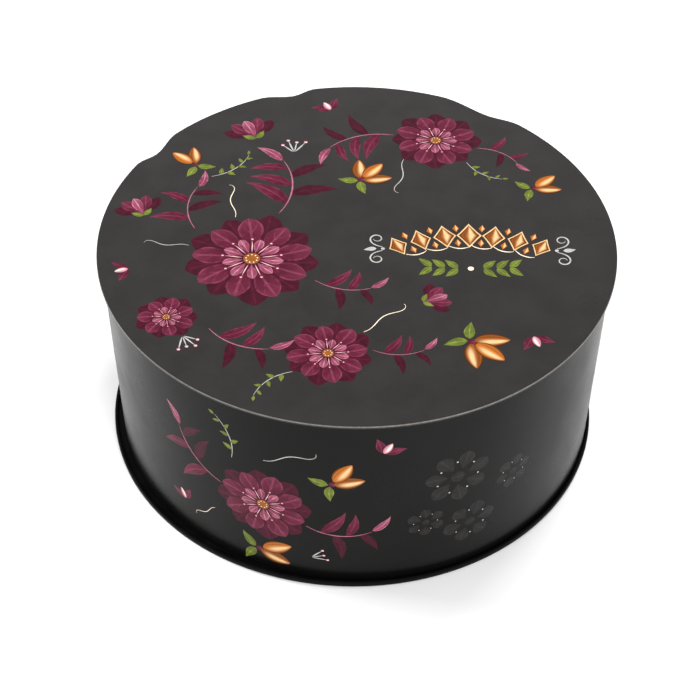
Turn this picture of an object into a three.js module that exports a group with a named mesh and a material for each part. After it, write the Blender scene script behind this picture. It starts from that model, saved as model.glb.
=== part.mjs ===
// A shut round cake box for a chocolate torte: a shallow black tray with a raised lip, a tapered side wall of
// printed board that stands inside the lip, and a flat printed lid board that overhangs the wall.
// The shut box can't be seen into, so the wall is one solid from the tray to the lid.
// Millimetres, +Z up. The origin is the middle of the footprint, on the surface that the box stands on.
import * as THREE from "three";

// Driving dimensions
const BOX_HEIGHT = 108;
const LID_RADIUS = 120;
const LID_THICKNESS = 2;
const WALL_TOP_RADIUS = 117.8;
const WALL_FOOT_RADIUS = 114.6;
const TRAY_RADIUS = 118;
const TRAY_HEIGHT = 3.5;
const TRAY_FLOOR_HEIGHT = 2;
const LIP_INNER_RADIUS = 116.2;
const TRAY_SHIFT_X = -1.4; // the wall stands off-centre in the tray, pushed towards +X
const RESTING_GAP = 0.3; // between pieces that rest on each other
const ROUND_STEPS = 144;

// The lid's overhang dips in at three places along the back edge. Angles are in degrees, counterclockwise
// from +X. Each dip rises over its own angle on the clockwise side and on the counterclockwise side.
const DIP_DEPTH = 3.6;
const LID_DIPS = [
  { middle: 57, clockwise: 9, counterclockwise: 13 },
  { middle: 106.5, clockwise: 6, counterclockwise: 8 },
  { middle: 147, clockwise: 9, counterclockwise: 6 },
];

// Points of a quarter circle in the profile's plane, from one angle to another, both in degrees.
function cornerArc(centreRadius, centreHeight, radius, from, to, steps = 4) {
  return Array.from({ length: steps + 1 }, (_, i) => {
    const angle = THREE.MathUtils.degToRad(from + ((to - from) * i) / steps);
    return new THREE.Vector2(
      centreRadius + radius * Math.cos(angle),
      centreHeight + radius * Math.sin(angle),
    );
  });
}

function turned(profile) {
  const geometry = new THREE.LatheGeometry(profile, ROUND_STEPS);
  geometry.rotateX(Math.PI / 2); // the lathe turns about Y, and the box stands along Z
  return geometry;
}

function board(color, roughness) {
  return new THREE.MeshStandardMaterial({ color, roughness, metalness: 0 });
}

// How far the lid's edge is set in at an angle given in degrees.
function dipAt(angle) {
  let depth = 0;
  for (const { middle, clockwise, counterclockwise } of LID_DIPS) {
    const away = ((angle - middle + 540) % 360) - 180;
    const reach = away < 0 ? clockwise : counterclockwise;
    if (Math.abs(away) < reach) {
      depth += (DIP_DEPTH / 2) * (1 + Math.cos((Math.PI * away) / reach));
    }
  }
  return depth;
}

function makeTray() {
  const footRound = 1.5;
  const lipRound = 0.8;
  const profile = [
    new THREE.Vector2(0, 0),
    ...cornerArc(TRAY_RADIUS - footRound, footRound, footRound, -90, 0),
    ...cornerArc(TRAY_RADIUS - lipRound, TRAY_HEIGHT - lipRound, lipRound, 0, 90),
    new THREE.Vector2(LIP_INNER_RADIUS, TRAY_HEIGHT),
    new THREE.Vector2(LIP_INNER_RADIUS, TRAY_FLOOR_HEIGHT),
    new THREE.Vector2(0, TRAY_FLOOR_HEIGHT),
  ];
  const tray = new THREE.Mesh(turned(profile), board(0x0b0a0a, 0.35));
  tray.name = "base_tray";
  tray.position.x = TRAY_SHIFT_X;
  return tray;
}

function makeWall() {
  const foot = TRAY_FLOOR_HEIGHT + RESTING_GAP;
  const top = BOX_HEIGHT - LID_THICKNESS - RESTING_GAP;
  const profile = [
    new THREE.Vector2(0, foot),
    new THREE.Vector2(WALL_FOOT_RADIUS, foot),
    new THREE.Vector2(WALL_TOP_RADIUS, top),
    new THREE.Vector2(0, top),
  ];
  const wall = new THREE.Mesh(turned(profile), board(0x2a2423, 0.3));
  wall.name = "side_wall";
  return wall;
}

function makeLid() {
  const underRound = 0.4;
  const topRound = 0.8;
  const underside = BOX_HEIGHT - LID_THICKNESS;
  const profile = [
    new THREE.Vector2(0, underside),
    ...cornerArc(LID_RADIUS - underRound, underside + underRound, underRound, -90, 0, 2),
    ...cornerArc(LID_RADIUS - topRound, BOX_HEIGHT - topRound, topRound, 0, 90),
    new THREE.Vector2(0, BOX_HEIGHT),
  ];
  const geometry = turned(profile);
  const position = geometry.getAttribute("position");
  for (let i = 0; i < position.count; i++) {
    const x = position.getX(i);
    const y = position.getY(i);
    const radius = Math.hypot(x, y);
    if (radius > LID_RADIUS / 2) {
      const scale = 1 - dipAt(THREE.MathUtils.radToDeg(Math.atan2(y, x))) / radius;
      position.setXY(i, x * scale, y * scale);
    }
  }
  const lid = new THREE.Mesh(geometry, board(0x3f3a39, 0.35));
  lid.name = "lid_board";
  return lid;
}

const cakeBox = new THREE.Group();
cakeBox.add(makeTray(), makeWall(), makeLid());

export default cakeBox;
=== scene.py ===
"""A shut round cake box with its print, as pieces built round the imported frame.

The black tray, the tapered wall and the overhanging lid are modelled as turned pieces. The print is thin
layers of ink: each motif is drawn flat once, stamped on a flat sheet, and the sheet is laid on the lid or
wrapped round the wall. Everything is in metres in the frame's own axes.
"""

import cmath
import math
from contextlib import contextmanager
from itertools import pairwise

import bmesh
import bpy
from bpy.props import FloatProperty, FloatVectorProperty, IntProperty, PointerProperty
from mathutils import Matrix, Vector


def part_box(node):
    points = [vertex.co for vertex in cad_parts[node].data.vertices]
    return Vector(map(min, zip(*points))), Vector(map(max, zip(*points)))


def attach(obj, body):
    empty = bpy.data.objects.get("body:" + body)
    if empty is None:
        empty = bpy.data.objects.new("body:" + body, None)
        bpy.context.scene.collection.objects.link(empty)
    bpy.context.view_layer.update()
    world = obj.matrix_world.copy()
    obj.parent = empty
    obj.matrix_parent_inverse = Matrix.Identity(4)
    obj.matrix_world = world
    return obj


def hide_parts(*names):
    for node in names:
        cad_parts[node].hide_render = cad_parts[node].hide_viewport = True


bl_info = {
    "name": "Round Cake Box",
    "version": (1, 0, 0),
    "blender": (4, 5, 0),
    "location": "View3D > Sidebar > Cake Box",
    "description": "Models a shut round cake box with a printed lid and wall",
    "category": "Add Mesh",
}

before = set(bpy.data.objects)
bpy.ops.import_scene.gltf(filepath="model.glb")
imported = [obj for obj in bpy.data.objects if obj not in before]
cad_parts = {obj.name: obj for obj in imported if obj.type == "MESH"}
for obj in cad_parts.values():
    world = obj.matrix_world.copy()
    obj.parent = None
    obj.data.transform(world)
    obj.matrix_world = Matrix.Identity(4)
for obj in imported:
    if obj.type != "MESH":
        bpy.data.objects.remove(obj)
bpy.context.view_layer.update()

MM = 0.001
FULL_TURN = 2 * math.pi


# ---------------------------------------------------------------- sizes read from the frame


def node_points(node):
    """The corners of a CAD node's mesh."""
    return [vertex.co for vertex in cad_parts[node].data.vertices]


TRAY_LOW, TRAY_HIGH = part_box("base_tray")
WALL_LOW, WALL_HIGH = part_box("side_wall")
LID_LOW, LID_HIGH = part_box("lid_board")
TRAY_X = (TRAY_LOW.x + TRAY_HIGH.x) / 2
TRAY_RADIUS = (TRAY_HIGH.x - TRAY_LOW.x) / 2
LIP_RADIUS = min(
    math.hypot(point.x - TRAY_X, point.y)
    for point in node_points("base_tray")
    if point.z > TRAY_HIGH.z - 0.01 * MM
)
TRAY_FLOOR = min(
    point.z
    for point in node_points("base_tray")
    if abs(math.hypot(point.x - TRAY_X, point.y) - LIP_RADIUS) < 0.01 * MM
)
WALL_TOP_RADIUS = WALL_HIGH.x
WALL_FOOT_RADIUS = max(point.x for point in node_points("side_wall") if point.z < WALL_LOW.z + MM)
LID_RADIUS = LID_HIGH.x
BOX_HEIGHT = LID_HIGH.z

# The dips in the lid's back edge: the middle's angle from +X, and how far each reaches clockwise and
# counterclockwise from it, in degrees.
LID_DIPS = ((57, 9, 13), (106.5, 6, 8), (147, 9, 6))
DIP_DEPTH = 3.6 * MM

# The lid board's unprinted inner layer shows on its cut edge between these heights. It is painted pale,
# partly its own colour and partly a painted highlight along the lid's rim.
CORE_AND_HIGHLIGHT_FOOT = LID_LOW.z + 0.75 * MM
CORE_AND_HIGHLIGHT_TOP = BOX_HEIGHT - 0.3 * MM

# Where the wall's ends are glued one over the other, from +X.
SEAM_ANGLE = math.radians(97)


def wall_radius(height):
    """The wall's outer radius at a height above the table."""
    share = (height - WALL_LOW.z) / (WALL_HIGH.z - WALL_LOW.z)
    return WALL_FOOT_RADIUS + share * (WALL_TOP_RADIUS - WALL_FOOT_RADIUS)


def turn_from(start, angle):
    """How far an angle is past another, from -180 to 180 degrees."""
    return (angle - start + 540) % 360 - 180


def dip_at(angle):
    """How far the lid's edge is set in at an angle in degrees."""
    depth = 0.0
    for middle, clockwise, counterclockwise in LID_DIPS:
        away = turn_from(middle, angle)
        reach = clockwise if away < 0 else counterclockwise
        if abs(away) < reach:
            depth += DIP_DEPTH / 2 * (1 + math.cos(math.pi * away / reach))
    return depth


# ---------------------------------------------------------------- what a user would change


def length(name, description, default):
    return FloatProperty(name=name, description=description, default=default, unit="LENGTH")


def colour(name, description, default):
    return FloatVectorProperty(
        name=name, description=description, default=default, size=3, subtype="COLOR", min=0, max=1
    )


def power(name, description, default):
    return FloatProperty(name=name, description=description, default=default, unit="POWER", min=0)


class CakeBoxSizes(bpy.types.PropertyGroup):
    """Sizes of the box's own details."""

    around: IntProperty(name="Sides", description="Sides of each round piece", default=288, min=96)
    lid_top_round: length("Lid top rounding", "Rounding of the lid's upper edge", 0.7 * MM)
    lid_under_round: length("Lid lower rounding", "Rounding of the lid's lower edge", 0.3 * MM)
    tray_foot_round: length("Tray foot rounding", "Rounding where the tray meets the table", 1.5 * MM)
    tray_lip_round: length("Tray lip rounding", "Rounding of the tray's lip", 0.7 * MM)
    seam_step: length("Seam step", "How far the wall's glued lap stands out", 0.45 * MM)
    ink: length("Ink thickness", "Thickness of one layer of print", 0.01 * MM)


class CakeBoxColours(bpy.types.PropertyGroup):
    """Colours of the board and of the inks."""

    lid: colour("Lid board", "Dark board of the lid", (0.0237, 0.0222, 0.0217))
    wall: colour("Wall board", "Dark board of the wall", (0.0034, 0.0031, 0.0030))
    # the unprinted board of the lid's cut edge, made pale enough that it also paints the highlight along
    # the lid's rim
    core: colour("Board core", "Raw board that shows at the lid's cut edge", (0.165, 0.150, 0.138))
    tray: colour("Tray", "Black plastic of the tray", (0.002, 0.002, 0.002))
    plum: colour("Plum", "Petals at the back", (0.043, 0.0035, 0.012))
    maroon: colour("Maroon", "Petals and leaves", (0.082, 0.006, 0.021))
    mauve: colour("Mauve", "Light on the petals", (0.200, 0.038, 0.076))
    amber: colour("Amber", "Blossom centres", (0.250, 0.080, 0.014))
    caramel: colour("Caramel", "Lozenges, and seeds at the back", (0.260, 0.070, 0.010))
    orange: colour("Orange", "Seeds in front, and small lozenges", (0.460, 0.130, 0.016))
    wheat: colour("Wheat", "Rims of the lozenges, and light on the seeds", (0.700, 0.450, 0.220))
    cream: colour("Cream", "Glints and fine strokes", (0.870, 0.740, 0.560))
    green: colour("Green", "Leaflets and sepals", (0.110, 0.140, 0.022))
    pink: colour("Pink", "Buds, berries and stamens", (0.640, 0.270, 0.360))
    grey: colour("Grey", "Tendrils, stalks and volutes", (0.420, 0.400, 0.385))
    ghost: colour("Ghost", "Blossoms tone on tone with the board", (0.013, 0.012, 0.0115))


class CakeBoxStage(bpy.types.PropertyGroup):
    """The floor, the light and the camera."""

    floor_size: length("Floor", "Side of the floor", 6.0)
    floor_colour: colour("Floor colour", "Pale floor", (0.86, 0.86, 0.86))
    surroundings: FloatProperty(
        name="Surroundings", description="Brightness of the studio all round", default=0.8, min=0
    )
    left_power: power("Left lamp", "Power of the lamp at the left", 7)
    back_power: power("Back lamp", "Power of the lamp behind the box", 6)
    front_power: power("Front lamp", "Power of the lamp at the front", 7)
    lamp_size: length("Lamp size", "Side of each soft lamp", 0.35)
    camera_distance: length("Camera distance", "From the middle of the box", 0.940)
    camera_elevation: FloatProperty(
        name="Camera elevation",
        description="Angle of the camera above the horizon",
        default=math.radians(42.88),
        unit="ROTATION",
    )
    lens: FloatProperty(
        name="Lens", description="Focal length in millimetres", default=100.4, min=1, unit="CAMERA"
    )


# ---------------------------------------------------------------- modelling


def deselect_all():
    bpy.ops.object.select_all(action="DESELECT")


def activate(piece):
    """Makes a piece the only selected one."""
    deselect_all()
    piece.select_set(True)
    bpy.context.view_layer.objects.active = piece


@contextmanager
def editing(piece):
    """Edit mode on one piece, in vertex mode and with nothing selected."""
    activate(piece)
    bpy.ops.object.mode_set(mode="EDIT")
    bpy.ops.mesh.select_mode(type="VERT")
    bpy.ops.mesh.select_all(action="DESELECT")
    yield
    bpy.ops.object.mode_set(mode="OBJECT")


def pick(piece, wanted):
    """In edit mode, selects only the corners whose place passes a test, and what lies between them."""
    bpy.ops.mesh.select_all(action="DESELECT")
    mesh = bmesh.from_edit_mesh(piece.data)
    for vertex in mesh.verts:
        vertex.select_set(wanted(vertex.co))
    mesh.select_flush(True)
    bmesh.update_edit_mesh(piece.data)


def turn_up(rings, around, centre_x=0.0):
    """Models a closed round piece as on a wheel: a filled disc drawn up through (radius, height) rings."""
    deselect_all()
    radius, height = rings[0]
    bpy.ops.mesh.primitive_circle_add(
        vertices=around, radius=radius, fill_type="NGON", location=(centre_x, 0, height)
    )
    piece = bpy.context.object
    bpy.ops.object.mode_set(mode="EDIT")
    for (radius, height), (next_radius, next_height) in pairwise(rings):
        bpy.ops.mesh.extrude_region_move(
            TRANSFORM_OT_translate={"value": (0, 0, next_height - height)}
        )
        scale = next_radius / radius
        bpy.ops.transform.resize(value=(scale, scale, 1), center_override=(centre_x, 0, next_height))
    bpy.ops.object.mode_set(mode="OBJECT")
    bpy.ops.object.transform_apply(location=True, rotation=True, scale=True)
    return piece


def round_off(piece, radius, height, centre_x, width, segments):
    """Rounds the edge that runs round a turned piece at one radius and height."""
    near = 0.02 * MM
    with editing(piece):
        pick(
            piece,
            lambda point: abs(math.hypot(point.x - centre_x, point.y) - radius) < near
            and abs(point.z - height) < near,
        )
        bpy.ops.mesh.bevel(offset=width, segments=segments, affect="EDGES")


# Faces that meet at less than this angle are shaded smooth.
SMOOTH_UNDER = math.radians(35)


def settle(piece, name, material):
    """Names a finished piece, smooths it, gives it its finish and lets it ride on the box."""
    activate(piece)
    piece.name = name
    piece.data.name = name
    bpy.ops.object.shade_smooth_by_angle(angle=SMOOTH_UNDER)
    piece.data.materials.clear()
    piece.data.materials.append(material)
    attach(piece, "root")


def recalculate(piece):
    """Turns a closed piece's faces to point outwards."""
    with editing(piece):
        bpy.ops.mesh.select_all(action="SELECT")
        bpy.ops.mesh.normals_make_consistent(inside=False)


# ---------------------------------------------------------------- shading


class Value:
    """A socket of a material's node tree. Arithmetic on it adds Math nodes."""

    def __init__(self, finish, output):
        self.finish = finish
        self.output = output

    def maths(self, operation, first, second=0.0):
        return self.finish.node(
            "ShaderNodeMath", {"operation": operation}, {0: first, 1: second}
        )

    def __add__(self, other):
        return self.maths("ADD", self, other)

    def __sub__(self, other):
        return self.maths("SUBTRACT", self, other)

    def __rsub__(self, other):
        return self.maths("SUBTRACT", other, self)

    def __mul__(self, other):
        return self.maths("MULTIPLY", self, other)

    def __mod__(self, other):
        return self.maths("FLOORED_MODULO", self, other)

    def __abs__(self):
        return self.maths("ABSOLUTE", self)

    __radd__ = __add__
    __rmul__ = __mul__

    def step(self, low, high):
        """0 below low, 1 above high, and smooth between; with low above high it falls instead."""
        return self.finish.node(
            "ShaderNodeMapRange",
            {"interpolation_type": "SMOOTHSTEP"},
            {"Value": self, "From Min": low, "From Max": high},
        )


class Finish:
    """One material, and the one way that nodes are added to it."""

    def __init__(self, name):
        self.material = bpy.data.materials.new(name)
        self.material.use_nodes = True
        self.tree = self.material.node_tree
        self.shader = self.tree.nodes["Principled BSDF"]

    def plug(self, socket, value):
        if isinstance(value, Value):
            self.tree.links.new(value.output, socket)
        else:
            socket.default_value = value

    def node(self, kind, settings, sockets, output=0):
        """Adds a node: its settings first, then the values or links of its sockets."""
        node = self.tree.nodes.new(kind)
        for name, setting in settings.items():
            setattr(node, name, setting)
        for name, value in sockets.items():
            self.plug(node.inputs[name], value)
        return Value(self, node.outputs[output])

    def surface(self, **values):
        """Sets sockets of the shader, named with underscores for spaces."""
        for name, value in values.items():
            self.plug(self.shader.inputs[name.replace("_", " ")], value)

    def place(self):
        return self.node("ShaderNodeTexCoord", {}, {}, "Object")

    def axes(self, vector):
        separate = self.node("ShaderNodeSeparateXYZ", {}, {0: vector}).output.node
        return [Value(self, output) for output in separate.outputs]

    def noise(self, scale, detail, roughness=0.5):
        """Noise that changes about so many times to the metre."""
        return self.node(
            "ShaderNodeTexNoise",
            {},
            {"Vector": self.place(), "Scale": scale, "Detail": detail, "Roughness": roughness},
        )

    def bump(self, height, distance):
        """Relief. A height of 1 stands up by the distance."""
        return self.node("ShaderNodeBump", {}, {"Distance": distance, "Height": height})

    def mix(self, share, first, second):
        """A colour between two colours."""
        return self.node(
            "ShaderNodeMix",
            {"data_type": "RGBA"},
            {"Factor": share, 6: self.opaque(first), 7: self.opaque(second)},
            2,
        )

    @staticmethod
    def opaque(value):
        return value if isinstance(value, Value) else (*value, 1.0)


def tinted(rgb, factor):
    """A colour made lighter or darker."""
    return tuple(min(channel * factor, 1.0) for channel in rgb)


# How rough the print's clear film is where it is clean, and how strongly it mirrors.
FILM_ROUGHNESS = 0.26
FILM_GLOSS = 0.093


def film(finish):
    """The clear film over all the print: satin gloss, faint smears, and the board's waves and grain."""
    smears = finish.noise(38, 4, 0.6).step(0.35, 0.75)
    specks = finish.noise(900, 1)
    waves = finish.noise(26, 1) * 1.6
    grain = finish.noise(420, 2) * 0.02
    finish.surface(
        Roughness=FILM_ROUGHNESS + smears * 0.07 + specks * 0.02,
        Specular_IOR_Level=FILM_GLOSS,
        Normal=finish.bump(waves + grain, 0.1 * MM),
    )


def board_finish(name, rgb, core=None):
    """Printed board under film. With a second colour, the cut edge of the lid shows the unprinted board,
    made pale enough that it is also a painted highlight along the rim.
    """
    finish = Finish(name)
    mottle = finish.noise(55, 3).step(0.3, 0.7)
    fibre = finish.noise(1600, 2).step(0.35, 0.65)
    tone = finish.mix(mottle * 0.6 + fibre * 0.25, tinted(rgb, 0.86), tinted(rgb, 1.2))
    if core is not None:
        # the pale band on the cut edge is partly the unprinted board and partly a painted highlight along
        # the rim, broken up in places as a rubbed edge
        height = finish.axes(finish.place())[2]
        wear_and_highlight_breakup = finish.noise(420, 3).step(0.38, 0.6) * 0.25 + 0.75
        below_top = height.step(CORE_AND_HIGHLIGHT_TOP, CORE_AND_HIGHLIGHT_TOP - 0.15 * MM)
        above_foot = height.step(CORE_AND_HIGHLIGHT_FOOT, CORE_AND_HIGHLIGHT_FOOT + 0.2 * MM)
        fuzz = finish.noise(2300, 2)
        raw_edge_and_highlight = finish.mix(fuzz, tinted(core, 0.75), tinted(core, 1.3))
        tone = finish.mix(below_top * above_foot * wear_and_highlight_breakup, tone, raw_edge_and_highlight)
    finish.surface(Base_Color=tone)
    film(finish)
    return finish.material


def tray_finish(colours):
    """Black moulded plastic with a faint haze."""
    finish = Finish("tray_plastic")
    haze = finish.noise(70, 4, 0.6).step(0.4, 0.75)
    finish.surface(
        Base_Color=finish.mix(haze, colours.tray, tinted(colours.tray, 2.0)),
        Roughness=0.38 + haze * 0.15,
        Specular_IOR_Level=0.05,
        Normal=finish.bump(finish.noise(700, 2), 0.02 * MM),
    )
    return finish.material


def ink_finish(name, rgb):
    """A flat ink with a little unevenness."""
    finish = Finish(name)
    uneven = finish.noise(420, 3).step(0.3, 0.7)
    finish.surface(Base_Color=finish.mix(uneven, tinted(rgb, 0.86), tinted(rgb, 1.12)))
    film(finish)
    return finish.material


def petal_finish(name, rgb, light, veins, spread):
    """Painted petals: darker at the root, with light veins and a light rim. It reads the petal's own UV
    map, which runs along it from root to tip, and across it."""
    finish = Finish(name)
    along, across, _ = finish.axes(finish.node("ShaderNodeUVMap", {"uv_map": "UVMap"}, {}))
    aside = abs(across * 2 - 1)
    slanted = (along * veins - aside * 1.4) % 1.0
    side_veins = abs(slanted - 0.5).step(0.16, 0.02) * aside.step(0.95, 0.2)
    middle_vein = aside.step(0.16, 0.06)
    rim = aside.step(0.72, 0.96)
    brush = finish.noise(300, 3).step(0.3, 0.7)
    lit = along.step(0.05, 0.95) * spread + rim * 0.55 * brush
    lit = (lit + side_veins * 0.38 * brush + middle_vein * 0.4).step(0.1, 1.1)
    base = finish.mix(brush, tinted(rgb, 0.75), tinted(rgb, 1.15))
    finish.surface(Base_Color=finish.mix(lit, base, light))
    film(finish)
    return finish.material


def seed_finish(name, rgb, light):
    """Seeds, buds and lozenges: a dark rim, a fluted middle and a light glint to one side."""
    finish = Finish(name)
    along, across, _ = finish.axes(finish.node("ShaderNodeUVMap", {"uv_map": "UVMap"}, {}))
    aside = abs(across * 2 - 1)
    rim = aside.step(0.6, 0.95)
    flutes = abs(across * 4.0 % 1.0 - 0.5).step(0.12, 0.4)
    glint = abs(across - 0.38).step(0.26, 0.04) * abs(along - 0.56).step(0.42, 0.08)
    base = finish.mix(flutes, rgb, tinted(rgb, 0.62))
    base = finish.mix(rim, base, tinted(rgb, 0.22))
    finish.surface(Base_Color=finish.mix(glint, base, light))
    film(finish)
    return finish.material


# ---------------------------------------------------------------- motifs, each drawn flat once


def petal_outline(share):
    return math.sin(math.pi * share**1.5) ** 0.75


def leaf_outline(share):
    return math.sin(math.pi * share**0.72) ** 1.1


def almond_outline(share):
    return math.sin(math.pi * share**0.85) ** 0.68


def lozenge_outline(share):
    return 1 - abs(2 * share - 1) ** 0.9


# A petal's length and width at size 1, in millimetres, and where along it is widest.
PETAL_LONG = 20
PETAL_WIDE = 13
PETAL_WIDEST_AT = 0.63

# The lengths of a lozenge and of a stamen or stalk at size 1, in millimetres.
LOZENGE_LONG = 9
HAIR_LONG = 12


def draw_field(outline, long, wide, curl=0.0, rows=18, columns=6):
    """Draws a flat field along +X from the origin: a grid narrowed row by row to its outline, with the rows
    closer together at its ends, then bent sideways. Its UV map runs along it and across it. Sizes are in
    millimetres, the curl in degrees."""
    sliver = 0.01
    middle_row = rows // 2
    deselect_all()
    bpy.ops.mesh.primitive_grid_add(x_subdivisions=rows, y_subdivisions=columns, size=1)
    field = bpy.context.object
    with editing(field):
        # each half is worked from its end inwards, so that a moved row never lands on one not yet picked
        for row in (*range(middle_row), *range(rows, middle_row - 1, -1)):
            along = row / rows - 0.5
            pick(field, lambda point: abs(point.x - along) < 0.1 / rows)
            share = (1 - math.cos(math.pi * row / rows)) / 2
            width = max(outline(share), sliver)
            bpy.ops.transform.resize(value=(1, width, 1), center_override=(along, 0, 0))
            bpy.ops.transform.translate(value=(share - 0.5 - along, 0, 0))
        bpy.ops.mesh.select_all(action="SELECT")
        bpy.ops.transform.resize(value=(long * MM, wide * MM, 1), center_override=(-0.5, 0, 0))
        bpy.ops.transform.translate(value=(0.5, 0, 0))
    if curl:
        bend(field, math.radians(curl))
    return field


def bend(piece, angle):
    """Bends a flat piece in its own plane, so that its heading turns by the angle along it."""
    activate(piece)
    modifier = piece.modifiers.new("bend", "SIMPLE_DEFORM")
    modifier.deform_method = "BEND"
    modifier.deform_axis = "Z"
    modifier.angle = angle
    bpy.ops.object.modifier_apply(modifier=modifier.name)


def draw_stroke(long, wide, heading_at, steps):
    """Draws a flat stroke from the origin: an edge extruded step by step along a heading, in degrees, that
    is given for each share of the way. It swells and thins like a pen's. Sizes are in millimetres."""
    deselect_all()
    stride = long / steps * MM
    bpy.ops.mesh.primitive_grid_add(x_subdivisions=1, y_subdivisions=1, size=1)
    stroke = bpy.context.object
    tip = Vector((0, 0, 0))
    heading = math.radians(heading_at(0.0))
    width = wide * MM * pen_width(0.0)
    with editing(stroke):
        bpy.ops.mesh.select_all(action="SELECT")
        bpy.ops.transform.translate(value=(-0.5, 0, 0))
        bpy.ops.transform.resize(value=(stride, width, 1), center_override=(0, 0, 0))
        # without a window the operator turns clockwise for a positive value
        bpy.ops.transform.rotate(value=-heading, orient_axis="Z", center_override=(0, 0, 0))
        forward = Vector((math.cos(heading), math.sin(heading), 0))
        pick(stroke, lambda point: point.dot(forward) > -stride / 2)
        for step in range(1, steps + 1):
            share = step / steps
            stretch = stride * Vector((math.cos(heading), math.sin(heading), 0))
            tip += stretch
            next_heading = math.radians(heading_at(share))
            next_width = wide * MM * pen_width(share)
            thinner = next_width / width
            bpy.ops.mesh.extrude_region_move(TRANSFORM_OT_translate={"value": stretch})
            bpy.ops.transform.rotate(
                value=heading - next_heading, orient_axis="Z", center_override=tip
            )
            bpy.ops.transform.resize(value=(thinner, thinner, 1), center_override=tip)
            heading = next_heading
            width = next_width
    return stroke


def pen_width(share):
    """A pen stroke's width along it, as a share of its widest."""
    return 0.22 + 0.78 * math.sin(math.pi * min(share * 0.85 + 0.12, 1.0)) ** 0.8


# A stem is an arc of a circle: its length in millimetres and how far it turns, in radians, at size 1.
STEM_LONG = 50
STEM_CURL = math.radians(58)


def stem_point(share):
    """A point on the stem, as a complex number in millimetres."""
    return STEM_LONG * (cmath.exp(1j * STEM_CURL * share) - 1) / (1j * STEM_CURL)


def draw_disc(sides, rings=1):
    """Draws a disc of radius 1 mm, in rings where it is to bend round the wall."""
    radius = 1 * MM
    deselect_all()
    bpy.ops.mesh.primitive_circle_add(vertices=sides, radius=radius, fill_type="NGON")
    disc = bpy.context.object
    with editing(disc):
        bpy.ops.mesh.select_all(action="SELECT")
        for _ in range(rings - 1):
            bpy.ops.mesh.inset(thickness=radius / rings)
    return disc


def draw_motifs():
    """Draws every motif once, each at its size 1."""
    motifs = {
        "petal": draw_field(petal_outline, PETAL_LONG, PETAL_WIDE, curl=14),
        "leaf": draw_field(leaf_outline, 30, 9, curl=42),
        "leaflet": draw_field(leaf_outline, 10, 4.6, curl=20, rows=10, columns=4),
        "almond": draw_field(almond_outline, 12, 6.6, rows=14),
        "lozenge": draw_field(lozenge_outline, LOZENGE_LONG, 6.2, rows=12),
        "hair": draw_field(leaf_outline, HAIR_LONG, 1.0, rows=8, columns=2),
        "stem": draw_stroke(STEM_LONG, 0.9, lambda share: math.degrees(STEM_CURL) * share, 24),
        "tendril": draw_stroke(44, 0.75, lambda share: 30 * math.sin(6.0 * share) + 130 * share**6, 40),
        "volute": draw_stroke(30, 1.0, lambda share: 430 * share**1.7, 40),
        "swag": draw_stroke(9.5, 0.6, lambda share: -34 + 68 * share, 10),
        "dot": draw_disc(16),
        "disc": draw_disc(28, rings=4),
    }
    for name, motif in motifs.items():
        motif.name = "motif_" + name
    return motifs


class Sheet:
    """A flat sheet of artwork in the XY plane: the copies stamped on it, kept by ink."""

    def __init__(self):
        self.motifs = draw_motifs()
        self.stamps = {}

    def stamp(self, ink, motif, at, turn=0.0, size=1.0, mirrored=False, widen=1.0):
        """Stamps a copy of a motif. The place is a complex number in millimetres."""
        source = self.motifs[motif]
        copy = source.copy()
        copy.data = source.data.copy()
        bpy.context.collection.objects.link(copy)
        if mirrored:
            copy.data.flip_normals()
        across = -size * widen if mirrored else size * widen
        copy.matrix_world = (
            Matrix.Translation((at.real * MM, at.imag * MM, 0))
            @ Matrix.Rotation(turn, 4, "Z")
            @ Matrix.Diagonal((size, across, 1, 1))
        )
        self.stamps.setdefault(ink, []).append(copy)

    def joined(self):
        """Joins the stamps of each ink into one flat piece, and throws the motifs away."""
        pieces = {}
        for ink, copies in self.stamps.items():
            deselect_all()
            for copy in copies:
                copy.select_set(True)
            bpy.context.view_layer.objects.active = copies[0]
            bpy.ops.object.join()
            bpy.ops.object.transform_apply(location=True, rotation=True, scale=True)
            pieces[ink] = bpy.context.object
        for motif in self.motifs.values():
            bpy.data.meshes.remove(motif.data)
        return pieces


def polar(radius, angle):
    """A step on the sheet, as a complex number."""
    return cmath.rect(radius, angle)


# ---------------------------------------------------------------- what the motifs are put together into


def petal_ring(sheet, ink, at, inner, outer, count, turn, fill):
    """A ring of petals between two radii, some a little longer than others. Fill is the share of the way
    round that they cover."""
    long = outer - inner
    size = long / PETAL_LONG
    wide = FULL_TURN * (inner + PETAL_WIDEST_AT * long) / count * fill
    for index in range(count):
        angle = turn + FULL_TURN * index / count
        uneven = 1 + 0.05 * math.sin(2.4 * index + outer)
        sheet.stamp(
            ink, "petal", at + polar(inner, angle), angle, size * uneven, widen=wide / PETAL_WIDE / size
        )


def rosette(sheet, at, radius, petals, turn):
    """A round blossom: three rings of petals one over another, stamens, and a dotted centre."""
    half = FULL_TURN / petals / 2
    sheet.stamp("plum", "disc", at, size=0.29 * radius)
    petal_ring(sheet, "plum", at, 0.30 * radius, radius, petals, turn + half, 0.86)
    petal_ring(sheet, "maroon", at, 0.20 * radius, 0.9 * radius, petals, turn, 0.84)
    petal_ring(sheet, "mauve", at, 0.13 * radius, 0.46 * radius, petals, turn + half, 0.66)
    for index in range(petals):
        angle = turn + FULL_TURN * index / petals
        sheet.stamp("pink", "hair", at + polar(0.14 * radius, angle), angle, 0.023 * radius)
        sheet.stamp("pink", "dot", at + polar(0.44 * radius, angle), size=0.020 * radius)
        sheet.stamp("cream", "dot", at + polar(0.085 * radius, angle), size=0.011 * radius)
    sheet.stamp("amber", "disc", at, size=0.125 * radius)


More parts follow.
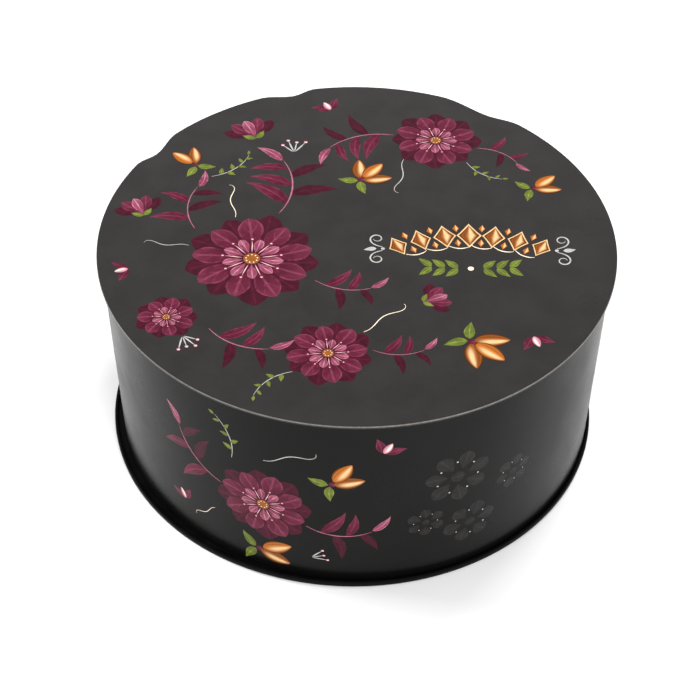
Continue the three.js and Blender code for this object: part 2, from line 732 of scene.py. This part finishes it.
def ghost_rosette(sheet, at, radius, petals, turn):
    """A blossom tone on tone with the board, with a few pale specks."""
    petal_ring(sheet, "ghost", at, 0.30 * radius, radius, petals, turn, 0.74)
    sheet.stamp("ghost", "disc", at, size=0.2 * radius)
    for index in range(petals):
        angle = turn + FULL_TURN * (index + 0.5) / petals
        sheet.stamp("grey", "dot", at + polar(0.62 * radius, angle), size=0.028 * radius)


# The inks of a branch: its stem, the leaves on its two sides, and the leaf at its tip.
LEAFY = ("mauve", "maroon", "plum", "mauve")
GREENERY = ("grey", "green", "green", "green")


def branch(sheet, at, turn, size, leaves, mirrored=False, inks=LEAFY, leaf="leaf"):
    """A curved stem with a leaf at its tip and others on either side in turn, smaller towards the tip."""
    stem_ink, *side_inks, tip_ink = inks
    way = -1 if mirrored else 1
    sheet.stamp(stem_ink, "stem", at, turn, size, mirrored)
    for index in range(leaves):
        share = (index + 1) / leaves
        reach = stem_point(share) * size
        place = at + polar(abs(reach), turn + way * cmath.phase(reach))
        at_tip = share == 1
        side = 0 if at_tip else (-1) ** index
        ink = tip_ink if at_tip else side_inks[index % 2]
        angle = turn + way * STEM_CURL * share + side * math.radians(50)
        sheet.stamp(ink, leaf, place, angle, size * (1.15 - 0.45 * share), mirrored=side < 0)


# A half-open blossom's petals from the back: their ink, how far they are turned to either side, in
# degrees, how far out their roots are, in millimetres, and how much of their width they keep.
TULIP_PETALS = (("plum", 50, 2.4, 0.72), ("maroon", 25, 2.4, 0.72), ("mauve", 0, 1.0, 0.62))


def tulip(sheet, at, turn, size):
    """A half-open blossom seen from the side: five petals fanned from one root, in two green sepals."""
    for ink, spread, root, wide in TULIP_PETALS:
        for side in (-1, 1) if spread else (1,):
            angle = turn + side * math.radians(spread)
            sheet.stamp(ink, "petal", at + polar(root * size, angle), angle, 0.8 * size, widen=wide)
    for side in (-1, 1):
        angle = turn + side * math.radians(62)
        sheet.stamp("green", "leaflet", at, angle, 0.8 * size, mirrored=side > 0)


def berries(sheet, at, turn, size, count=4):
    """Pink berries on thin stalks fanned from one root."""
    for index in range(count):
        angle = turn + math.radians(26) * (index - (count - 1) / 2)
        reach = (11 - 2 * (index % 2)) * size
        sheet.stamp("grey", "hair", at + polar(0.8 * size, angle), angle, reach / HAIR_LONG)
        sheet.stamp("pink", "dot", at + polar(reach, angle), size=size)


def sprig(sheet, at, turn, size, leaves, mirrored=False):
    """A thin grey stem with green leaflets."""
    branch(sheet, at, turn, size, leaves, mirrored, GREENERY, "leaflet")


def seed_cluster(sheet, at, turn, size, count):
    """Almond-shaped seeds fanned from a small cup, the middle one in front, with two green leaflets."""
    sheet.stamp("maroon", "disc", at + polar(0.9 * size, turn), size=1.3 * size)
    for index in range(count):
        angle = turn + math.radians(42) * (index - (count - 1) / 2)
        ink, root = ("orange", 2.6) if index == count // 2 else ("caramel", 1.6)
        sheet.stamp(ink, "almond", at + polar(root * size, angle), angle, size)
    for side in (-1, 1):
        angle = turn + math.pi + side * math.radians(46)
        root = at + polar(0.8 * size, angle)
        sheet.stamp("green", "leaflet", root, angle, 0.85 * size, mirrored=side < 0)


def bud(sheet, at, turn, size):
    """A small pink bud in two maroon sepals."""
    sheet.stamp("pink", "almond", at, turn, 0.52 * size)
    for side in (-1, 1):
        root = at + polar(0.9 * size, turn + side * math.pi / 2)
        sheet.stamp("maroon", "leaflet", root, turn + side * 0.62, 0.85 * size, mirrored=side < 0)


def lozenge(sheet, ink, centre, upright, size):
    """A lozenge standing on its lower corner."""
    foot = centre - polar(LOZENGE_LONG * size / 2, upright)
    sheet.stamp(ink, "lozenge", foot, upright, size)


def lozenge_arch(sheet, at, half_width, rise):
    """A shallow arch of rimmed lozenges, with small ones between them and swags hung underneath."""
    count = 7
    small_lift = 5.2
    swag_drop = 7.4
    swag_reach = 4.2
    bow = (half_width**2 + rise**2) / (2 * rise)
    middle = at - 1j * (bow - rise)
    half_angle = math.asin(half_width / bow)
    for step in range(2 * count - 1):
        share = step / (count - 1) - 1
        upright = math.pi / 2 - share * half_angle
        if step % 2 == 0:
            size = 1.6 - 0.35 * abs(share)
            for ink, scale in (("wheat", 1.18), ("caramel", 1.0)):
                lozenge(sheet, ink, middle + polar(bow, upright), upright, size * scale)
        else:
            for lift in (-small_lift, small_lift):
                lozenge(sheet, "orange", middle + polar(bow + lift, upright), upright, 0.6)
            swag_at = middle + polar(bow - swag_drop, upright + swag_reach / bow)
            sheet.stamp("cream", "swag", swag_at, upright - math.pi / 2)


def leaflet_row(sheet, at):
    """Pairs of leaflets that point outwards from a dot, in a row that rises a little towards its ends."""
    pairs = 3
    pitch = 6
    rise = 0.12
    sheet.stamp("cream", "dot", at, size=1.4)
    for way, outward in ((1, 0.0), (-1, math.pi)):
        for index in range(1, pairs + 1):
            root = at + way * pitch * index + 1j * rise * index**2
            for side in (-1, 1):
                sheet.stamp("green", "leaflet", root, outward + side * 0.95, 0.82, mirrored=side > 0)


def volutes(sheet, at, outward):
    """A pair of volutes that open outwards from a dot, with a leaflet between them."""
    sheet.stamp("grey", "dot", at, size=0.9)
    sheet.stamp("grey", "leaflet", at + polar(3, outward), outward, 0.6)
    for side in (-1, 1):
        root = at + polar(1.6, outward + side * 1.1)
        sheet.stamp("grey", "volute", root, outward + side * 0.35, 0.72, side < 0)


def garland(sheet, at, half_width, rise):
    """An arch of lozenges over a row of leaflets, with a pair of volutes at each end."""
    end = half_width + 7
    lozenge_arch(sheet, at, half_width, rise)
    leaflet_row(sheet, at - 15.3j)
    volutes(sheet, at + end - 2j, 0.0)
    volutes(sheet, at - end - 2j, math.pi)


def draw_lid_art(sheet):
    """The lid's print: a crescent of blossoms down the left, one more at the back, and a garland."""
    rosette(sheet, -48 - 14j, 31, 9, 0.2)
    rosette(sheet, -12 - 76j, 20, 8, 0.1)
    rosette(sheet, -84 - 54j, 14, 7, 0.4)
    rosette(sheet, 38 + 76j, 22, 8, 0.3)
    branch(sheet, -76 + 8j, math.radians(118), 0.62, 5, mirrored=True)
    branch(sheet, -36 + 20j, math.radians(62), 0.8, 6)
    branch(sheet, -64 - 62j, math.radians(-52), 0.6, 5)
    branch(sheet, -18 - 29j, math.radians(-38), 0.52, 5)
    branch(sheet, 8 - 74j, math.radians(-26), 0.46, 5)
    branch(sheet, 16 + 80j, math.radians(172), 0.66, 6)
    branch(sheet, 59 + 70j, math.radians(-4), 0.44, 4, mirrored=True)
    tulip(sheet, -100 + 16j, math.radians(112), 0.8)
    tulip(sheet, -50 + 76j, math.radians(112), 0.9)
    tulip(sheet, 30 - 42j, math.radians(20), 0.7)
    seed_cluster(sheet, -78 + 54j, math.radians(120), 1.05, 2)
    seed_cluster(sheet, 1 + 44j, math.radians(50), 1.15, 3)
    seed_cluster(sheet, 50 - 67j, math.radians(-40), 1.3, 3)
    seed_cluster(sheet, 83 + 39j, math.radians(20), 1.05, 2)
    bud(sheet, -14 + 100j, math.radians(120), 1.1)
    bud(sheet, -104 - 22j, math.radians(200), 1.0)
    bud(sheet, 78 - 64j, math.radians(-70), 1.1)
    berries(sheet, -31 + 65j, math.radians(96), 0.9)
    berries(sheet, -76 - 66j, math.radians(-58), 0.8)
    sprig(sheet, -69 + 46j, math.radians(18), 0.48, 7)
    sprig(sheet, 53 + 58j, math.radians(-64), 0.42, 6)
    sprig(sheet, -28 - 88j, math.radians(196), 0.44, 6)
    sheet.stamp("cream", "tendril", -57 + 16j, math.radians(84), 0.58)
    sheet.stamp("grey", "tendril", -78 - 5j, math.radians(160), 0.5)
    sheet.stamp("cream", "tendril", 4 - 62j, math.radians(30), 0.62)
    sheet.stamp("grey", "tendril", 22 + 60j, math.radians(-112), 0.62)
    garland(sheet, 52 - 4j, 33, 8)


# How many times the run of blossoms comes round the wall, and where its big one stands in each run.
WALL_REPEATS = 3
BLOSSOM_AT = 0.33


def draw_wall_art(sheet):
    """The wall's print: the same run of blossoms repeated round it, laid out along X by arc length."""
    middle_radius = wall_radius(BOX_HEIGHT / 2)
    run = FULL_TURN * middle_radius / MM / WALL_REPEATS
    for repeat in range(WALL_REPEATS):
        start = complex((repeat - WALL_REPEATS / 2 + BLOSSOM_AT) * run, 0)
        rosette(sheet, start + 46j, 23, 8, 0.2 + repeat)
        branch(sheet, start - 22 + 51j, math.radians(160), 0.66, 5, mirrored=True)
        branch(sheet, start + 21 + 37j, math.radians(-30), 0.6, 5)
        seed_cluster(sheet, start + 31 + 67j, math.radians(35), 1.15, 2)
        seed_cluster(sheet, start - 4 + 14j, math.radians(2), 1.25, 2)
        bud(sheet, start - 44 + 24j, math.radians(115), 1.0)
        bud(sheet, start + 54 + 88j, math.radians(60), 1.1)
        berries(sheet, start + 22 + 16j, math.radians(20), 0.7, 3)
        sprig(sheet, start - 14 + 72j, math.radians(80), 0.5, 6)
        sheet.stamp("grey", "tendril", start + 2 + 76j, math.radians(8), 0.62)
        sheet.stamp("cream", "tendril", start - 26 + 30j, math.radians(210), 0.4)
        ghost_rosette(sheet, start + 88 + 64j, 16, 7, 0.3)
        ghost_rosette(sheet, start + 96 + 30j, 13, 6, 0.1)
        ghost_rosette(sheet, start + 74 + 38j, 9, 6, 0.5)
        ghost_rosette(sheet, start + 118 + 52j, 10, 6, 0.2)


# Inks are laid one over another, in this order from the board up, and so many ink thicknesses apart.
INK_PITCH = 1.25
INK_ORDER = {
    "ghost": 0, "plum": 0, "maroon": 1, "mauve": 2, "grey": 2, "green": 3, "wheat": 3,
    "amber": 3, "pink": 4, "caramel": 4, "orange": 5, "cream": 6,
}

# Inks painted as petals and leaves: their light, how many side veins they have, and how far the light
# spreads. The light is another ink, or the ink itself made lighter by a factor.
PETAL_INKS = {
    "plum": ("maroon", 5, 0.3),
    "maroon": ("mauve", 5, 0.5),
    "mauve": ("pink", 3, 0.35),
    "green": (2.8, 3, 0.2),
    "ghost": (2.2, 5, 0.3),
}

# Inks painted as seeds, buds and lozenges, and the ink of their glint.
SEED_INKS = {"orange": "wheat", "caramel": "wheat", "pink": "cream"}


def ink_material(surface, ink, colours):
    """The finish of one ink on the lid or on the wall."""
    name = f"{surface}_{ink}"
    rgb = getattr(colours, ink)
    if ink in PETAL_INKS:
        light, veins, spread = PETAL_INKS[ink]
        lit = getattr(colours, light) if isinstance(light, str) else tinted(rgb, light)
        return petal_finish(name, rgb, lit, veins, spread)
    if ink in SEED_INKS:
        return seed_finish(name, rgb, getattr(colours, SEED_INKS[ink]))
    return ink_finish(name, rgb)


def give_thickness(piece, thickness):
    """Makes a flat layer of ink a closed sheet that stands up from its board."""
    activate(piece)
    modifier = piece.modifiers.new("ink", "SOLIDIFY")
    modifier.thickness = thickness
    modifier.offset = 1
    bpy.ops.object.modifier_apply(modifier=modifier.name)


def lay_on_lid(piece, lift):
    """Lays a flat layer of ink on the lid."""
    piece.location.z = BOX_HEIGHT + lift
    activate(piece)
    bpy.ops.object.transform_apply(location=True, rotation=False, scale=False)


def wrap_on_wall(piece, wall, lift):
    """Stands a flat layer of ink up, bends it round the wall, and presses it on to the wall's surface."""
    activate(piece)
    piece.rotation_euler.x = math.pi / 2
    bpy.ops.object.transform_apply(location=False, rotation=True, scale=False)
    radius = wall_radius(BOX_HEIGHT / 2)
    places = [vertex.co.x for vertex in piece.data.vertices]
    bend(piece, (max(places) - min(places)) / radius)
    piece.location.y = -radius
    bpy.ops.object.transform_apply(location=True, rotation=False, scale=False)
    modifier = piece.modifiers.new("press", "SHRINKWRAP")
    modifier.target = wall
    modifier.wrap_method = "NEAREST_SURFACEPOINT"
    modifier.wrap_mode = "ABOVE_SURFACE"
    modifier.offset = lift
    bpy.ops.object.modifier_apply(modifier=modifier.name)


# ---------------------------------------------------------------- operators


class MakeTray(bpy.types.Operator):
    """Models the black tray with its raised lip"""

    bl_idname = "cakebox.make_tray"
    bl_label = "Tray"

    def execute(self, context):
        sizes = context.scene.cake_box_sizes
        rings = [
            (TRAY_RADIUS, TRAY_LOW.z),
            (TRAY_RADIUS, TRAY_HIGH.z),
            (LIP_RADIUS, TRAY_HIGH.z),
            (LIP_RADIUS, TRAY_FLOOR),
        ]
        tray = turn_up(rings, sizes.around, TRAY_X)
        recalculate(tray)
        round_off(tray, TRAY_RADIUS, TRAY_LOW.z, TRAY_X, sizes.tray_foot_round, segments=5)
        round_off(tray, TRAY_RADIUS, TRAY_HIGH.z, TRAY_X, sizes.tray_lip_round, segments=4)
        round_off(tray, LIP_RADIUS, TRAY_HIGH.z, TRAY_X, sizes.tray_lip_round, segments=4)
        settle(tray, "tray", tray_finish(context.scene.cake_box_colours))
        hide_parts("base_tray")
        return {"FINISHED"}


class MakeWall(bpy.types.Operator):
    """Models the tapered wall with its glued seam at the back"""

    bl_idname = "cakebox.make_wall"
    bl_label = "Wall"

    def execute(self, context):
        sizes = context.scene.cake_box_sizes
        # the wall just clears the tray's floor and the lid
        foot = TRAY_FLOOR + 0.05 * MM
        top = LID_LOW.z - 0.02 * MM
        bands = 12
        levels = [foot + (top - foot) * band / bands for band in range(bands + 1)]
        wall = turn_up([(wall_radius(level), level) for level in levels], sizes.around)
        recalculate(wall)
        self.lap_seam(wall, SEAM_ANGLE, sizes.seam_step)
        settle(wall, "wall", board_finish("wall_board", context.scene.cake_box_colours.wall))
        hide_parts("side_wall")
        return {"FINISHED"}

    @staticmethod
    def lap_seam(wall, angle, step):
        """Cuts a line down the back, and lifts the board beyond it so that it laps over the other end."""
        reach = math.radians(26)
        sharp = math.radians(0.12)
        columns = 20
        facing = Vector((math.cos(angle), math.sin(angle), 0))
        with editing(wall):
            for cut in (angle, angle + sharp):
                pick(wall, lambda point: point.xy.normalized().dot(facing.xy) > math.cos(reach / 3))
                bpy.ops.mesh.bisect(
                    plane_co=(0, 0, 0), plane_no=(-math.sin(cut), math.cos(cut), 0)
                )
            for column in range(columns):
                low = angle + sharp / 2 + reach * column / columns
                high = angle + sharp / 2 + reach * (column + 1) / columns
                lift = step * (1 - column / columns) ** 2
                scale = 1 + lift / WALL_TOP_RADIUS
                pick(wall, lambda point: low < math.atan2(point.y, point.x) <= high)
                bpy.ops.transform.resize(value=(scale, scale, 1), center_override=(0, 0, 0))


class MakeLid(bpy.types.Operator):
    """Models the lid board with the three dips in its back edge"""

    bl_idname = "cakebox.make_lid"
    bl_label = "Lid"

    def execute(self, context):
        sizes = context.scene.cake_box_sizes
        colours = context.scene.cake_box_colours
        lid = turn_up([(LID_RADIUS, LID_LOW.z), (LID_RADIUS, LID_HIGH.z)], sizes.around)
        recalculate(lid)
        round_off(lid, LID_RADIUS, LID_HIGH.z, 0, sizes.lid_top_round, segments=4)
        round_off(lid, LID_RADIUS, LID_LOW.z, 0, sizes.lid_under_round, segments=2)
        with editing(lid):
            for column in range(sizes.around):
                angle = 360 * column / sizes.around
                if dip_at(angle) > 0:
                    self.set_in(lid, angle, 180 / sizes.around)
        settle(lid, "lid", board_finish("lid_board", colours.lid, colours.core))
        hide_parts("lid_board")
        return {"FINISHED"}

    @staticmethod
    def set_in(lid, angle, half_column):
        """Sets one column of the lid's edge in by the dip at its angle."""
        scale = 1 - dip_at(angle) / LID_RADIUS

        def in_column(point):
            return abs(turn_from(angle, math.degrees(math.atan2(point.y, point.x)))) < half_column

        pick(lid, in_column)
        bpy.ops.transform.resize(value=(scale, scale, 1), center_override=(0, 0, 0))


class PrintLid(bpy.types.Operator):
    """Prints the lid, one thin layer for each ink"""

    bl_idname = "cakebox.print_lid"
    bl_label = "Lid print"

    def execute(self, context):
        ink_thickness = context.scene.cake_box_sizes.ink
        sheet = Sheet()
        draw_lid_art(sheet)
        for ink, piece in sheet.joined().items():
            # the lowest layer lies half a thickness above the board
            lay_on_lid(piece, ink_thickness * (0.5 + INK_PITCH * INK_ORDER[ink]))
            give_thickness(piece, ink_thickness)
            settle(piece, f"lid_{ink}", ink_material("lid", ink, context.scene.cake_box_colours))
        return {"FINISHED"}


class PrintWall(bpy.types.Operator):
    """Prints the wall, one thin layer for each ink"""

    bl_idname = "cakebox.print_wall"
    bl_label = "Wall print"

    def execute(self, context):
        wall = bpy.data.objects.get("wall")
        if wall is None:
            raise RuntimeError("make the wall before its print")
        ink_thickness = context.scene.cake_box_sizes.ink
        sheet = Sheet()
        draw_wall_art(sheet)
        for ink, piece in sheet.joined().items():
            # the lowest layer lies a little more than a thickness above the wall, which has flat sides
            wrap_on_wall(piece, wall, ink_thickness * (1.2 + INK_PITCH * INK_ORDER[ink]))
            give_thickness(piece, ink_thickness)
            settle(piece, f"wall_{ink}", ink_material("wall", ink, context.scene.cake_box_colours))
        return {"FINISHED"}


class BuildStage(bpy.types.Operator):
    """Adds the pale floor, the soft studio light and the camera"""

    bl_idname = "cakebox.build_stage"
    bl_label = "Stage"

    def execute(self, context):
        stage = context.scene.cake_box_stage
        self.add_floor(stage)
        self.light(context, stage)
        self.add_camera(context, stage)
        context.scene.view_settings.view_transform = "Standard"
        return {"FINISHED"}

    @staticmethod
    def add_floor(stage):
        deselect_all()
        bpy.ops.mesh.primitive_plane_add(size=stage.floor_size)
        floor = bpy.context.object
        floor.name = "floor"
        finish = Finish("floor_paper")
        finish.surface(Base_Color=(*stage.floor_colour, 1.0), Roughness=0.9, Specular_IOR_Level=0.1)
        floor.data.materials.append(finish.material)

    @staticmethod
    def light(context, stage):
        world = bpy.data.worlds.new("studio")
        world.use_nodes = True
        background = world.node_tree.nodes["Background"]
        background.inputs["Color"].default_value = (1, 1, 1, 1)
        background.inputs["Strength"].default_value = stage.surroundings
        context.scene.world = world
        middle = Vector((0, 0, 0))
        lamps = (
            ("left", (-0.82, 0.18, 0.64), stage.left_power),
            ("back", (0.47, 0.68, 0.64), stage.back_power),
            ("front", (0.28, -0.85, 0.60), stage.front_power),
        )
        for name, place, watts in lamps:
            bpy.ops.object.light_add(type="AREA", location=place)
            lamp = bpy.context.object
            lamp.name = name
            lamp.data.size = stage.lamp_size
            lamp.data.energy = watts
            # the film mirrors the pale floor and the studio, and not the lamps
            lamp.visible_glossy = False
            lamp.rotation_euler = (middle - Vector(place)).to_track_quat("-Z", "Y").to_euler()

    @staticmethod
    def add_camera(context, stage):
        """Looks along +Y and down at the box, aimed a little low and left, and turned by half a degree."""
        aim_low = math.radians(0.72)
        aim_left = math.radians(0.23)
        roll = math.radians(0.51)
        down = stage.camera_elevation
        place = Vector((0, -math.cos(down), math.sin(down))) * stage.camera_distance
        bpy.ops.object.camera_add(location=place + Vector((0, 0, BOX_HEIGHT / 2)))
        camera = bpy.context.object
        turned = (
            Matrix.Rotation(aim_left, 3, "Z")
            @ Matrix.Rotation(math.pi / 2 - down - aim_low, 3, "X")
            @ Matrix.Rotation(roll, 3, "Z")
        )
        camera.rotation_euler = turned.to_euler()
        camera.data.lens = stage.lens
        camera.data.sensor_width = 36
        context.scene.camera = camera


class CakeBoxPanel(bpy.types.Panel):
    """Lists the box's operators and settings"""

    bl_idname = "VIEW3D_PT_cake_box"
    bl_label = "Cake Box"
    bl_space_type = "VIEW_3D"
    bl_region_type = "UI"
    bl_category = "Cake Box"

    def draw(self, context):
        for operator in OPERATORS:
            self.layout.operator(operator.bl_idname)
        for name in GROUPS:
            group = getattr(context.scene, name)
            for setting in group.bl_rna.properties.keys():
                if setting not in ("rna_type", "name"):
                    self.layout.prop(group, setting)


OPERATORS = (MakeTray, MakeWall, MakeLid, PrintLid, PrintWall, BuildStage)
GROUPS = {
    "cake_box_sizes": CakeBoxSizes,
    "cake_box_colours": CakeBoxColours,
    "cake_box_stage": CakeBoxStage,
}


def register():
    for cls in (*GROUPS.values(), *OPERATORS, CakeBoxPanel):
        bpy.utils.register_class(cls)
    for name, group in GROUPS.items():
        setattr(bpy.types.Scene, name, PointerProperty(type=group))


def unregister():
    for name in GROUPS:
        delattr(bpy.types.Scene, name)
    for cls in (CakeBoxPanel, *reversed(OPERATORS), *GROUPS.values()):
        bpy.utils.unregister_class(cls)


def main():
    register()
    bpy.ops.cakebox.make_tray()
    bpy.ops.cakebox.make_wall()
    bpy.ops.cakebox.make_lid()
    bpy.ops.cakebox.print_lid()
    bpy.ops.cakebox.print_wall()
    bpy.ops.cakebox.build_stage()


if __name__ == "__main__":
    main()
